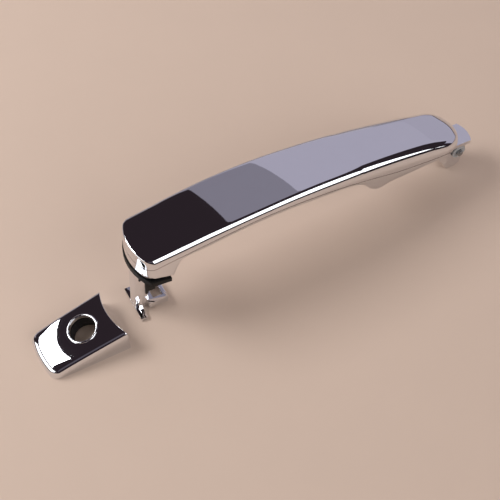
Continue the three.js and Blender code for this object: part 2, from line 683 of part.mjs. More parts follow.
// ---------------------------------------------------------------------------------------------
// Pieces of the cover
// ---------------------------------------------------------------------------------------------
const coverTop = curveThrough([
  [-COVER_LENGTH, COVER_REAR_HEIGHT],
  [-COVER_LENGTH * 0.75, COVER_REAR_HEIGHT + 0.3 * (COVER_FRONT_HEIGHT - COVER_REAR_HEIGHT)],
  [-COVER_LENGTH * 0.35, COVER_REAR_HEIGHT + 0.69 * (COVER_FRONT_HEIGHT - COVER_REAR_HEIGHT)],
  [0, COVER_FRONT_HEIGHT],
]);
const coverHalfWidth = (x) =>
  THREE.MathUtils.mapLinear(x, -COVER_LENGTH, 0, COVER_REAR_HALF_WIDTH, COVER_FRONT_HALF_WIDTH);

function coverRing(x, inset, low) {
  const start = -COVER_LENGTH + inset;
  const into = THREE.MathUtils.clamp((x - start) / COVER_CORNER, 0, 1);
  const round = 1 - Math.sqrt(1 - (1 - into) ** 2);
  const half = coverHalfWidth(x) - inset - 0.8 * COVER_CORNER * round;
  const top = coverTop(x) - inset - 0.5 * COVER_REAR_HEIGHT * round;
  const radius = Math.min(Math.max(COVER_EDGE_RADIUS - inset, 0.8), (top - Math.max(low, 0)) * 0.8);
  const bow = (y) => TOP_CROWN * (1 - (y / half) ** 2);
  const ring = [0, 0.5].map((share) => [share * (half - radius), top + bow(share * (half - radius))]);
  const steps = inset > 0 ? 2 : 5;
  for (let i = 0; i <= steps; i++) {
    const angle = (i * Math.PI) / 2 / steps;
    const y = half - radius + radius * Math.sin(angle);
    const shoulder = bow(half - radius) * Math.cos(angle) ** 2;
    ring.push([y, top - radius * (1 - Math.cos(angle)) + shoulder]);
  }
  ring.push([half, low], [0, low]);
  const fade = THREE.MathUtils.clamp(1 - (x - start) / (COVER_LENGTH * 0.5), 0, 1);
  const place = ([y, z]) =>
    new THREE.Vector3(x + fade * reachBack(COVER_REAR_ROUNDING, y - HOLLOW_SHIFT), y, z);
  const mirrored = ring.slice(1, -1).reverse().map(([y, z]) => [-y, z]);
  return [...ring, ...mirrored].map(place).reverse();
}

function coverForm(inset, low) {
  const start = -COVER_LENGTH + inset;
  const stations = [0, 0.08, 0.3, 0.65, 1].map((share) => start + share * COVER_CORNER);
  const body = start + COVER_CORNER;
  const steps = inset > 0 ? 3 : 6;
  for (let i = 1; i <= steps; i++) stations.push(body + ((4 - body) * i) / steps);
  return loft(stations.map((x) => coverRing(x, inset, low)));
}

// The front end is hollowed to follow the rear end of the grip.
function frontHollow(inset) {
  const radius = HOLLOW_ROUNDING + inset;
  const geometry = new THREE.CylinderGeometry(radius, radius, 4 * COVER_FRONT_HEIGHT, 72);
  geometry.rotateX(Math.PI / 2);
  geometry.translate(HOLLOW_ROUNDING - HOLLOW_DEPTH, HOLLOW_SHIFT, 0);
  return solidOf(geometry);
}

// Pieces round the key hole are made square to the sloping roof, then set in it.
const ROOF_SLOPE = Math.atan2(
  coverTop(-KEY_HOLE_SETBACK + 8) - coverTop(-KEY_HOLE_SETBACK - 8), 16,
);
const ROOF_POINT = [-KEY_HOLE_SETBACK, 0, coverTop(-KEY_HOLE_SETBACK) + TOP_CROWN];
function inRoof(solid) {
  const degrees = THREE.MathUtils.radToDeg(ROOF_SLOPE);
  return solid.rotate([0, -degrees, 0]).translate(ROOF_POINT);
}
const ringBar = ([z0, z1], outer, inner) =>
  cutAway(bar(0, 0, [z0, z1], outer), bar(0, 0, [z0 - 1, z1 + 1], inner));

const COVER_SCREWS = [-1, 1].map((side) => ({
  x: -COVER_SCREW_SETBACK * COVER_LENGTH,
  y: side * COVER_SCREW_Y,
  seat: CARRIER_PLATE[0] - GAP,
}));
const COLLAR_RADIUS = KEY_HOLE_RADIUS + GAP;
const POST_X = -KEY_HOLE_SETBACK;
const POST_Y = (COLLAR_RADIUS + COLLAR_WALL + coverHalfWidth(POST_X) - COVER_WALL) / 2;
const UNDER_RIM = -COVER_WALL - 0.4; // lower face of the key hole's rim, from the roof

function coverShell() {
  const skin = cutAway(coverForm(0, 0), coverForm(COVER_WALL, -5), frontHollow(0));
  const front = frontHollow(COVER_WALL).intersect(cutAway(coverForm(0, 0), frontHollow(0)));
  const bosses = COVER_SCREWS.map(({ x, y }) =>
    bar(x, y, [CARRIER_PLATE[1] + GAP, HIGH], COVER_BOSS_RADIUS).intersect(
      coverForm(COVER_WALL * 0.5, 0),
    ),
  );
  const rim = inRoof(bar(0, 0, [UNDER_RIM, RIM_HEIGHT], KEY_HOLE_RADIUS + RIM_WIDTH));
  const hole = inRoof(bar(0, 0, [LOW, HIGH], KEY_HOLE_RADIUS));
  const screws = COVER_SCREWS.map(({ x, y }) =>
    bar(x, y, [0, coverTop(x) - COVER_WALL - 0.6], COVER_SCREW_RADIUS + GAP),
  );
  return cutAway(union(skin, front, ...bosses, rim), hole, ...screws);
}

function coverCarrier() {
  const inside = COVER_WALL + 0.5;
  const room = cutAway(coverForm(inside, LOW), frontHollow(inside));
  const slab = (z) => block([-COVER_LENGTH, 5], [-COVER_LENGTH, COVER_LENGTH], z);
  const plate = room.intersect(slab(CARRIER_PLATE));
  const collarTop = UNDER_RIM - SEAL_THICKNESS - 2 * GAP;
  const tube = inRoof(bar(0, 0, [LOW, collarTop], COLLAR_RADIUS + COLLAR_WALL)).intersect(
    room.intersect(slab([CARRIER_PLATE[0], HIGH])),
  );
  const hole = inRoof(bar(0, 0, [LOW, HIGH], COLLAR_RADIUS));
  const holes = COVER_SCREWS.map(({ x, y }) => bar(x, y, [LOW, HIGH], COVER_SCREW_RADIUS + GAP));
  // Posts at both sides of the collar carry the spring clips.
  const posts = [-1, 1].map((side) =>
    block(
      [POST_X - POST_WIDTH / 2, POST_X + POST_WIDTH / 2],
      [side * POST_Y - POST_THICKNESS / 2, side * POST_Y + POST_THICKNESS / 2],
      [CARRIER_PLATE[0], CLIP_TOP - CLIP_STRIP - GAP],
    ),
  );
  return cutAway(union(plate, tube, ...posts), hole, ...holes);
}

// A folded strip of spring steel over each post.
function coverClip(side) {
  const inner = POST_THICKNESS / 2 + GAP;
  const outer = inner + CLIP_STRIP;
  const span = (from, to) => (side > 0 ? [POST_Y + from, POST_Y + to] : [-POST_Y - to, -POST_Y - from]);
  const low = CARRIER_PLATE[1] + GAP;
  const x = [POST_X - 0.42 * POST_WIDTH, POST_X + 0.42 * POST_WIDTH];
  return union(
    block(x, span(inner, outer), [low, CLIP_TOP]),
    block(x, span(-outer, -inner), [low + 1.4, CLIP_TOP]),
    block(x, span(-outer, outer), [CLIP_TOP - CLIP_STRIP, CLIP_TOP]),
  );
}

// A rubber ring under the key hole's rim, trimmed where the roof bows down over it.
const barrelSeal = () =>
  inRoof(
    ringBar(
      [UNDER_RIM - GAP - SEAL_THICKNESS, UNDER_RIM - GAP],
      KEY_HOLE_RADIUS + RIM_WIDTH,
      KEY_HOLE_RADIUS,
    ),
  ).intersect(coverForm(COVER_WALL + GAP, LOW));

function coverScrew({ x, y, seat }) {
  const head = bar(x, y, [seat - 0.8, seat], COVER_SCREW_HEAD_RADIUS);
  const shank = bar(x, y, [seat - 0.1, coverTop(x) - COVER_WALL - 1], COVER_SCREW_RADIUS);
  const slot = block([x - 1.5, x + 1.5], [y - 0.3, y + 0.3], [seat - 2, seat - 0.45]);
  return cutAway(union(head, shank), slot);
}

// ---------------------------------------------------------------------------------------------
// The set
// ---------------------------------------------------------------------------------------------
const handle = new THREE.Group();
handle.add(
  meshOf("grip_outer_shell", gripOuterShell(), chromePlate()),
  meshOf("grip_inner_shell", gripInnerShell(), chromePlate()),
  meshOf("core_beam", coreBeam(), blackNylon()),
  meshOf("pull_leg", pullLeg(), chromePlate()),
  meshOf("hinge_arm", hingeArm(), chromePlate()),
  meshOf("pivot_pin", pivotPin(), springSteel()),
  meshOf("pivot_bush_near", pivotBush(-1), acetal()),
  meshOf("pivot_bush_far", pivotBush(1), acetal()),
  meshOf("rear_gasket", rearGasket(), blackRubber()),
);
for (const [name, stack] of Object.entries(stacks)) {
  handle.add(meshOf(name, screwSolid(stack, screwTip(stack.x)), zincScrew()));
}

// Off the car the handle stands on the crossbar and on the lower end of the hinge arm.
const crossbarFront = LEG_START - 0.2 + CROSSBAR_WIDTH;
const armFoot = PIN_REACH + 1.2;
handle.rotation.y = Math.atan2(LEG_DEPTH - ARM_DEPTH, armFoot - crossbarFront);

const cover = new THREE.Group();
cover.add(
  meshOf("cover_shell", coverShell(), chromePlate()),
  meshOf("cover_carrier", coverCarrier(), blackNylon()),
  meshOf("barrel_seal", barrelSeal(), blackRubber()),
  meshOf("cover_clip_1", coverClip(-1), springSteel()),
  meshOf("cover_clip_2", coverClip(1), springSteel()),
  ...COVER_SCREWS.map((screw, i) => meshOf(`cover_screw_${i + 1}`, coverScrew(screw), zincScrew())),
);

// Both stand on z = 0, the cover behind the crossbar, and the set is centred on its origin.
const standing = new THREE.Box3().setFromObject(handle, true);
const crossbarCorner = new THREE.Vector3(LEG_START - 0.2, 0, -LEG_DEPTH).applyEuler(handle.rotation);
handle.position.z = -standing.min.z;
cover.position.set(crossbarCorner.x - COVER_DISTANCE, COVER_OFFSET, 0);

const doorHandleSet = new THREE.Group();
doorHandleSet.add(handle, cover);
const extent = new THREE.Box3().setFromObject(doorHandleSet, true);
const centre = extent.getCenter(new THREE.Vector3());
doorHandleSet.position.set(-centre.x, -centre.y, 0);

export default doorHandleSet;
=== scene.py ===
# Chromed exterior car door handle with its key-cylinder cover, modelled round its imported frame.
# Metres, +Z up. The grip swings on its pin and the cover lifts away; both ride on frame bodies.
import math

import bmesh
import bpy
from mathutils import Matrix, Vector


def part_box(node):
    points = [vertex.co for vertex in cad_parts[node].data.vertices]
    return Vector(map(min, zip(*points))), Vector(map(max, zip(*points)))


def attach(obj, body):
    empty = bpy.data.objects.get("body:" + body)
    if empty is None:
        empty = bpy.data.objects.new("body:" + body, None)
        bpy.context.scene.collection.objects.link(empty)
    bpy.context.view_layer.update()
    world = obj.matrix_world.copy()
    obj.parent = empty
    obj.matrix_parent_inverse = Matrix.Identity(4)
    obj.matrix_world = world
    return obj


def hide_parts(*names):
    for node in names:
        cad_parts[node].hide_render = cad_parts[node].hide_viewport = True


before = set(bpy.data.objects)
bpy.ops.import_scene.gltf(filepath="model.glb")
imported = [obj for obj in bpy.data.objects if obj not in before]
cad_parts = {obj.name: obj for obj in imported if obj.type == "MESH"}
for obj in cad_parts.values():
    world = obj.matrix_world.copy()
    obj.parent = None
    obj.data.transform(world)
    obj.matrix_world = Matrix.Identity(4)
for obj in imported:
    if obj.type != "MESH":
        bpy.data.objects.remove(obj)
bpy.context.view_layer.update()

bl_info = {
    "name": "Chromed car door handle",
    "version": (1, 0, 0),
    "blender": (4, 5, 0),
    "location": "3D View > Sidebar > Door handle",
    "description": "Builds the visible pieces of a chromed door handle and its key-cylinder cover",
    "category": "Object",
}

MM = 0.001

# ---------------------------------------------------------------------------------------------
# Where the handle and the cover stand. In the handle's own frame u runs from its rear end to
# its hinge, y across and w over the door skin.
# ---------------------------------------------------------------------------------------------
LEG_DEPTH = 38.8 * MM
CROSSBAR_START = 2.6 * MM
CROSSBAR_END = 6.4 * MM
ARM_DEPTH = 24.4 * MM
ARM_FOOT = 210.7 * MM
TILT = math.atan2(LEG_DEPTH - ARM_DEPTH, ARM_FOOT - CROSSBAR_END)
LEG_LOW, LEG_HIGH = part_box("pull_leg")
MIDDLE_Y = (LEG_LOW.y + LEG_HIGH.y) / 2
HANDLE_X = LEG_LOW.x - (CROSSBAR_START * math.cos(TILT) - LEG_DEPTH * math.sin(TILT))
HANDLE_Z = CROSSBAR_END * math.sin(TILT) + LEG_DEPTH * math.cos(TILT)
HANDLE_PLACE = Matrix.Translation((HANDLE_X, MIDDLE_Y, HANDLE_Z)) @ Matrix.Rotation(TILT, 4, "Y")
COVER_PLACE = Matrix.Translation((LEG_LOW.x - 11.8 * MM, MIDDLE_Y - 6.5 * MM, 0))


# ---------------------------------------------------------------------------------------------
# Sizes and colours a user would change
# ---------------------------------------------------------------------------------------------
def length(name, description, millimetres):
    """A length setting, given in millimetres."""
    return bpy.props.FloatProperty(
        name=name, description=description, default=millimetres * MM, min=0.0,
        unit="LENGTH", precision=5,
    )


def colour(name, description, hex_value):
    """A colour setting, given as an sRGB hex value."""
    return bpy.props.FloatVectorProperty(
        name=name, description=description, size=4, subtype="COLOR",
        default=linear(hex_value), min=0.0, max=1.0,
    )


def linear(hex_value):
    """An sRGB hex colour as linear red, green, blue and alpha."""
    channels = [int(hex_value[i:i + 2], 16) / 255 for i in (1, 3, 5)]
    return [c / 12.92 if c <= 0.04045 else ((c + 0.055) / 1.055) ** 2.4 for c in channels] + [1.0]


class HandleGripSettings(bpy.types.PropertyGroup):
    """Sizes of the grip."""

    total: length("Length", "Rear end to front end", 204.8)
    half_width: length("Half width", "From the middle to the widest side", 17.8)
    arch: length("Arch height", "Highest line of the side over the door skin", 26)
    rear_rounding: length("Rear rounding", "Radius of the rear end in plan", 27)
    front_rounding: length("Front rounding", "Length over which the front end rounds off", 17)
    crown: length("Crown", "How far the top bows up across", 1.1)
    belly: length("Belly", "How far the finger side bows down across", 1.2)
    wall: length("Wall", "Wall of both shells", 2)
    rear_corner: length("Rear corner", "Radius of the rear end's upright corners", 3.4)
    rear_edge: length("Rear edge", "Radius of the rear end's upper edge", 0.9)


class HandleCoverSettings(bpy.types.PropertyGroup):
    """Sizes of the key-cylinder cover."""

    total: length("Length", "Front tips to rear end", 45.4)
    front_half_width: length("Front half width", "Half width at the front tips", 15.9)
    rear_half_width: length("Rear half width", "Half width at the rear", 14.6)
    front_height: length("Front height", "Height at the front tips", 15.3)
    rear_height: length("Rear height", "Height at the rear end", 4.8)
    wall: length("Wall", "Wall of the shell", 1.7)
    hole_radius: length("Key hole radius", "Clear radius of the key hole", 7.2)
    hole_setback: length("Key hole setback", "From the front tips to the hole's axis", 19.3)


class HandleFinishSettings(bpy.types.PropertyGroup):
    """Colours of the finishes."""

    chrome: colour("Chrome", "Bright decorative chrome plate", "#E9EAEE")
    rubber: colour("Rubber", "Black seal rubber", "#0D0D0E")
    nylon: colour("Nylon", "Black glass-filled nylon", "#1C1D20")
    steel: colour("Spring steel", "Ground and tempered steel", "#9CA0A4")
    zinc: colour("Zinc plate", "Zinc plate on the screws", "#C2C6CB")
    acetal: colour("Acetal", "Grey bearing plastic", "#A9ABAD")
    floor: colour("Floor", "Pale warm paper", "#CCB6A6")


# ---------------------------------------------------------------------------------------------
# Modelling helpers
# ---------------------------------------------------------------------------------------------
def deselect():
    """Nothing selected, nothing in edit mode."""
    if bpy.context.object and bpy.context.object.mode != "OBJECT":
        bpy.ops.object.mode_set(mode="OBJECT")
    bpy.ops.object.select_all(action="DESELECT")


def pick(piece):
    """The piece alone, selected and active."""
    deselect()
    piece.select_set(True)
    bpy.context.view_layer.objects.active = piece


def curve_through(knots):
    """A smooth curve through (position, value) knots, level beyond both ends."""
    slopes = []
    for i in range(len(knots)):
        before, after = knots[max(i - 1, 0)], knots[min(i + 1, len(knots) - 1)]
        slopes.append((after[1] - before[1]) / (after[0] - before[0]))

    def value(position):
        x = min(max(position, knots[0][0]), knots[-1][0])
        i = next((k for k in range(1, len(knots)) if knots[k][0] >= x), len(knots) - 1) - 1
        (x0, y0), (x1, y1) = knots[i], knots[i + 1]
        span = x1 - x0
        t = (x - x0) / span
        return (
            (1 + 2 * t) * (1 - t) ** 2 * y0 + t * (1 - t) ** 2 * span * slopes[i]
            + t * t * (3 - 2 * t) * y1 + t * t * (t - 1) * span * slopes[i + 1]
        )

    return value


def reach_back(radius, y):
    """How far a round end of this radius lies back at y."""
    return radius - math.sqrt(max(radius ** 2 - y ** 2, 0))


def rounding(radius, distance):
    """How far a rounded edge draws in at a distance from the end it closes."""
    if distance >= radius:
        return 0.0
    return radius - math.sqrt(radius ** 2 - (radius - distance) ** 2)


def place_section(piece, layer_name, section):
    """Puts the selected ring of vertices on a section, point by point."""
    body = bmesh.from_edit_mesh(piece.data)
    layer = body.verts.layers.int[layer_name]
    for vertex in body.verts:
        if vertex.select:
            vertex.co = section[vertex[layer]]
    bmesh.update_edit_mesh(piece.data)


def swept(name, sections):
    """A closed skin: one section is drawn, then extruded from station to station."""
    deselect()
    bpy.ops.mesh.primitive_circle_add(vertices=len(sections[0]), radius=MM, fill_type="NOTHING")
    piece = bpy.context.object
    piece.name = name
    order = piece.data.attributes.new("point", "INT", "POINT")
    order.data.foreach_set("value", list(range(len(sections[0]))))
    bpy.ops.object.mode_set(mode="EDIT")
    bpy.ops.mesh.select_all(action="SELECT")
    place_section(piece, "point", sections[0])
    bpy.ops.mesh.edge_face_add()
    for section in sections[1:]:
        bpy.ops.mesh.extrude_region_move()
        place_section(piece, "point", section)
    bpy.ops.mesh.select_all(action="SELECT")
    bpy.ops.mesh.remove_doubles(threshold=1e-6)
    bpy.ops.mesh.normals_make_consistent(inside=False)
    bpy.ops.object.mode_set(mode="OBJECT")
    piece.data.attributes.remove(piece.data.attributes["point"])
    return piece


def apply_modifier(piece, kind, **settings):
    """Adds a modifier with its settings and applies it."""
    pick(piece)
    modifier = piece.modifiers.new(kind.title(), kind)
    for key, value in settings.items():
        setattr(modifier, key, value)
    bpy.ops.object.modifier_apply(modifier=modifier.name)


def carve(piece, tool, operation="DIFFERENCE"):
    """Cuts, joins or trims the piece with a tool, which is used up."""
    apply_modifier(piece, "BOOLEAN", object=tool, operation=operation, solver="MANIFOLD")
    bpy.data.objects.remove(tool)


def rod(centre, radius, low, high, sides=64):
    """An upright round bar, as a tool."""
    deselect()
    place = (centre[0], centre[1], (low + high) / 2)
    bpy.ops.mesh.primitive_cylinder_add(
        vertices=sides, radius=radius, depth=high - low, location=place
    )
    bar = bpy.context.object
    bpy.ops.object.transform_apply(location=True, rotation=True, scale=True)
    return bar


def drawn_across(outline, half):
    """A side outline (points in x and z) drawn out to both sides, as a tool."""
    return swept("tool", [[Vector((x, side, z)) for x, z in outline] for side in (-half, half)])


def settle(piece, body, nodes, angle=35, place=None):
    """Moves a piece to its place, smooths it, ties it to its body and hides the frame nodes it
    stands for.
    """
    if place is not None:
        piece.data.transform(place)
    pick(piece)
    bpy.ops.object.shade_smooth_by_angle(angle=math.radians(angle))
    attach(piece, body)
    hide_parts(*nodes)
    return piece


def bevelled_copy(name, node, width, segments=3, angle=30):
    """A merged copy of a frame node with a bevel, which is clamped at its short edges."""
    deselect()
    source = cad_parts[node]
    piece = bpy.data.objects.new(name, source.data.copy())
    bpy.context.scene.collection.objects.link(piece)
    piece.data.materials.clear()
    pick(piece)
    bpy.ops.object.mode_set(mode="EDIT")
    bpy.ops.mesh.select_all(action="SELECT")
    bpy.ops.mesh.remove_doubles(threshold=1e-6)
    bpy.ops.mesh.dissolve_limited(angle_limit=math.radians(1.0))
    bpy.ops.object.mode_set(mode="OBJECT")
    apply_modifier(
        piece, "BEVEL", width=width, segments=segments, limit_method="ANGLE",
        angle_limit=math.radians(angle), harden_normals=False, use_clamp_overlap=True,
    )
    return piece


# ---------------------------------------------------------------------------------------------
# Finishes
# ---------------------------------------------------------------------------------------------
def add_node(tree, kind, settings=None, links=None):
    """Adds a node, sets its values and inputs, and links its inputs."""
    node = tree.nodes.new(kind)
    for key, value in (settings or {}).items():
        if key in node.inputs:
            node.inputs[key].default_value = value
        else:
            setattr(node, key, value)
    for key, source in (links or {}).items():
        tree.links.new(source, node.inputs[key])
    return node


def new_material(name):
    """An empty node material and its tree, principled shader and object coordinates."""
    material = bpy.data.materials.new(name)
    material.use_nodes = True
    tree = material.node_tree
    tree.nodes.clear()
    shader = add_node(tree, "ShaderNodeBsdfPrincipled")
    add_node(tree, "ShaderNodeOutputMaterial", links={"Surface": shader.outputs["BSDF"]})
    place = add_node(tree, "ShaderNodeTexCoord").outputs["Object"]
    return material, tree, shader, place


def textured(
    name, base, spread, roughness, grain, bump, metallic=0.0, shine=0.5, stretch=(1, 1, 1),
):
    """A finish with colour and roughness varied by a grain (metres) and a bump of that grain."""
    material, tree, shader, place = new_material(name)
    shader.inputs["Metallic"].default_value = metallic
    shader.inputs["Specular IOR Level"].default_value = shine
    mapped = add_node(tree, "ShaderNodeMapping", {"Scale": stretch}, {"Vector": place})
    noise = add_node(
        tree, "ShaderNodeTexNoise", {"Scale": 1 / grain, "Detail": 4.0, "Roughness": 0.6},
        {"Vector": mapped.outputs["Vector"]},
    )
    light = [min(c * (1 + spread), 1) for c in base[:3]] + [1]
    dark = [c * (1 - spread) for c in base[:3]] + [1]
    tint = add_node(
        tree, "ShaderNodeMix", {"data_type": "RGBA"}, {"Factor": noise.outputs["Fac"]}
    )
    colours = [s for s in tint.inputs if s.type == "RGBA"]
    colours[0].default_value, colours[1].default_value = dark, light
    result = next(s for s in tint.outputs if s.type == "RGBA")
    tree.links.new(result, shader.inputs["Base Color"])
    gloss = add_node(
        tree, "ShaderNodeMapRange", {"To Min": roughness[0], "To Max": roughness[1]},
        {"Value": noise.outputs["Fac"]},
    )
    tree.links.new(gloss.outputs["Result"], shader.inputs["Roughness"])
    relief = add_node(
        tree, "ShaderNodeBump", {"Strength": 1.0, "Distance": bump},
        {"Height": noise.outputs["Fac"]},
    )
    tree.links.new(relief.outputs["Normal"], shader.inputs["Normal"])
    return material


FINISHES = {}


def make_finishes(colours):
    """Every finish of the handle, by its short name."""
    # Bright chrome over polished ABS or zinc: a hard mirror with a faint long-wave unevenness.
    FINISHES["chrome"] = textured(
        "bright_chrome_plate", list(colours.chrome), 0.02, (0.012, 0.035), 9 * MM, 0.003 * MM, 1.0
    )
    # Moulded seal rubber: deep black, half matt, with the fine spark-eroded grain of its mould.
    FINISHES["rubber"] = textured(
        "moulded_seal_rubber", list(colours.rubber), 0.25, (0.4, 0.55), 0.7 * MM, 0.02 * MM,
        shine=0.2,
    )
    # Glass-filled nylon: short fibres show as a dull cloudy speckle.
    FINISHES["nylon"] = textured(
        "glass_filled_nylon", list(colours.nylon), 0.4, (0.42, 0.62), 0.5 * MM, 0.015 * MM
    )
    # Ground spring steel: fine lines along the grinding direction.
    FINISHES["steel"] = textured(
        "ground_spring_steel", list(colours.steel), 0.15, (0.16, 0.34), 1.2 * MM, 0.004 * MM,
        1.0, stretch=(1, 0.08, 1),
    )
    # Zinc plate on the screws: a cloudy, slightly blue-grey metal.
    FINISHES["zinc"] = textured(
        "zinc_plated_steel", list(colours.zinc), 0.18, (0.22, 0.42), 0.9 * MM, 0.006 * MM, 1.0
    )
    # Grey acetal: milky bearing plastic with a smooth moulded skin.
    FINISHES["acetal"] = textured(
        "grey_acetal", list(colours.acetal), 0.05, (0.28, 0.4), 0.8 * MM, 0.005 * MM
    )
    # Floor: plain pale paper, soft and matt.
    FINISHES["floor"] = textured(
        "pale_paper", list(colours.floor), 0.02, (0.75, 0.9), 30 * MM, 0.0
    )


def coat(piece, finish):
    """Gives a piece its finish."""
    piece.data.materials.clear()
    piece.data.materials.append(FINISHES[finish])


# ---------------------------------------------------------------------------------------------
# The grip's form
# ---------------------------------------------------------------------------------------------
FOOT_LENGTH = 16.9 * MM
FOOT_LIFT = 4.6 * MM
FOOT_RAKE = 0.2
FRONT_FOOT_START = 143 * MM
FRONT_FOOT_LIFT = 3 * MM
FRONT_TOE_LIFT = 1.4 * MM
PARTING_HEIGHT = 3.4 * MM
REAR_OVERHANG = 1.3 * MM
REAR_BEND = 24 * MM  # length over which the sections straighten behind the rounded rear end
SEAM = 0.3 * MM


def foot_height(x):
    """Lower face of the rear foot over the door skin."""
    return FOOT_LIFT - FOOT_RAKE * x


class GripForm:
    """Curves that give the grip's outline at each station."""

    def __init__(self, s):
        total, arch, half = s.total, s.arch, s.half_width
        self.s = s
        self.top = curve_through([
            (share * total, height * arch) for share, height in (
                (0, 0.685), (0.1, 0.79), (0.2, 0.905), (0.3, 0.97), (0.42, 1.0), (0.55, 0.96),
                (0.7, 0.855), (0.85, 0.66), (0.925, 0.51), (1, 0.33),
            )
        ])
        self.half = curve_through([
            (share * total, width * half) for share, width in (
                (0, 0.925), (0.1, 0.966), (0.25, 1.0), (0.48, 0.975), (0.7, 0.92),
                (0.85, 0.865), (1, 0.79),
            )
        ])
        self.edge = curve_through([
            (0, 3 * MM), (0.25 * total, 5 * MM), (0.6 * total, 5.6 * MM), (0.85 * total, 6.4 * MM),
            (total, 4.6 * MM),
        ])
        self.finger = curve_through([
            (FOOT_LENGTH, foot_height(FOOT_LENGTH)),
            (FOOT_LENGTH + 3.4 * MM, foot_height(FOOT_LENGTH) + 7.4 * MM),
            (FOOT_LENGTH + 6.6 * MM, 0.49 * arch),
            (0.18 * total, 0.58 * arch),
            (0.28 * total, 0.68 * arch),
            (0.39 * total, 0.71 * arch),
            (0.5 * total, 0.65 * arch),
            (0.6 * total, 0.57 * arch),
            (FRONT_FOOT_START - 11 * MM, 0.44 * arch),
            (FRONT_FOOT_START - 4 * MM, 0.16 * arch),
            (FRONT_FOOT_START + 1 * MM, FRONT_TOE_LIFT),
            (FRONT_FOOT_START + 8 * MM, FRONT_FOOT_LIFT),
        ])
        self.parting = curve_through([
            (0, foot_height(0) + 6.6 * MM),
            (FOOT_LENGTH + 6 * MM, 0.49 * arch + PARTING_HEIGHT),
            (0.28 * total, 0.68 * arch + PARTING_HEIGHT),
            (0.39 * total, 0.71 * arch + PARTING_HEIGHT),
            (0.55 * total, 0.61 * arch + PARTING_HEIGHT),
            (FRONT_FOOT_START - 6 * MM, 0.44 * arch + PARTING_HEIGHT),
            (FRONT_FOOT_START + 14 * MM, FRONT_FOOT_LIFT + 2.2 * PARTING_HEIGHT),
            (total - s.front_rounding, FRONT_FOOT_LIFT + PARTING_HEIGHT),
            (total, FRONT_FOOT_LIFT + 0.5 * PARTING_HEIGHT),
        ])

    def low(self, x):
        """Lower edge: the rear foot, the finger arch and the front foot."""
        return foot_height(x) if x <= FOOT_LENGTH else self.finger(x)

    def keeps(self, x, end):
        """How much of its width the front end keeps at x."""
        into = min(max((x - end + self.s.front_rounding) / self.s.front_rounding, 0), 1)
        return max(1 - into ** 2.6, 0) ** (1 / 2.2)

    def section(self, x, inset, end, trim, steps):
        """One section at x, drawn in by inset. trim gives (side, top, low) drawn in as well."""
        crown, belly = self.s.crown, self.s.belly
        near = (-inset, 0, inset)
        keeps = self.keeps(x, end)
        half = max((self.half(x) - inset) * keeps, 2.2 * MM) - trim[0]
        top = min(self.top(x + d) for d in near) - inset - 2.4 * MM * (1 - keeps) - trim[1]
        low = max(self.low(x + d) for d in near) + inset + trim[2]
        room = (top - low) / 2
        upper = min(max(self.edge(x) - inset, 0.8 * MM), room, half * 0.8)
        lower = min(2.2 * MM, room * 0.7, half * 0.5)
        sagging = belly if FOOT_LENGTH < x < FRONT_FOOT_START else 0
        flat, turn, side, under, floor = steps
        points = []
        for i in range(flat):
            y = (half - upper) * i / flat
            points.append((y, top + crown * (1 - (y / half) ** 2)))
        shoulder = crown * (1 - ((half - upper) / half) ** 2)
        for i in range(turn + 1):
            angle = math.pi / 2 * i / turn
            y = half - upper + upper * math.sin(angle)
            drop = upper * (1 - math.cos(angle))
            points.append((y, top - drop + shoulder * math.cos(angle) ** 2))
        high, deep = top - upper, low + lower
        points += [(half, high + (deep - high) * i / side) for i in range(1, side)]
        sag = sagging * (1 - ((half - lower) / half) ** 2)
        for i in range(under + 1):
            angle = math.pi / 2 * i / under
            y = half - lower + lower * math.cos(angle)
            points.append((y, low + lower * (1 - math.sin(angle)) - sag * math.sin(angle) ** 2))
        for i in range(1, floor + 1):
            y = (half - lower) * (1 - i / floor)
            points.append((y, low - sagging * (1 - (y / half) ** 2)))
        mirrored = [(-y, z) for y, z in reversed(points[1:-1])]
        return points + mirrored

    def bent(self, x, points, inset):
        """The section's points in space, bent back round the rear end."""
        fade = max(1 - x / REAR_BEND, 0)
        radius = self.s.rear_rounding - inset
        return [Vector((x + fade * reach_back(radius, y), y, z)) for y, z in points]

    def sections(self, inset, steps, spacing):
        """All sections from the middle of the rear wall to the front tip."""
        start = REAR_OVERHANG + inset
        end = self.s.total - 4 * inset
        corner = self.s.rear_corner if inset == 0 else 0.3 * MM
        edge = self.s.rear_edge if inset == 0 else 0.3 * MM

        def trimmed(distance):
            side = rounding(corner, distance)
            top = rounding(edge, distance)
            return side, top, rounding(0.5 * MM if inset == 0 else 0.2 * MM, distance)

        rings = []
        first = self.section(start, inset, end, trimmed(0), steps)
        middle = sum(z for _, z in first) / len(first)
        for i in range(1, 9):
            share = max(i / 9, 0.02)
            shrunk = [(y * share, middle + (z - middle) * share) for y, z in first]
            rings.append(self.bent(start, shrunk, inset))
        for i in range(13):
            distance = corner * (1 - math.cos(math.pi / 2 * i / 12))
            x = start + distance
            rings.append(self.bent(x, self.section(x, inset, end, trimmed(distance), steps), inset))
        stations = []
        x = start + corner
        while x < end - self.s.front_rounding:
            busy = FOOT_LENGTH - 2 * MM < x < FOOT_LENGTH + 12 * MM
            busy = busy or FRONT_FOOT_START - 16 * MM < x < FRONT_FOOT_START + 10 * MM
            x += spacing * (0.35 if busy else 1)
            stations.append(min(x, end - self.s.front_rounding))
        tip = end - 0.02 * MM
        span = tip - stations[-1]
        stations += [stations[-1] + span * math.sin(math.pi / 2 * i / 22) for i in range(1, 23)]
        for x in stations:
            rings.append(self.bent(x, self.section(x, inset, end, (0, 0, 0), steps), inset))
        return rings


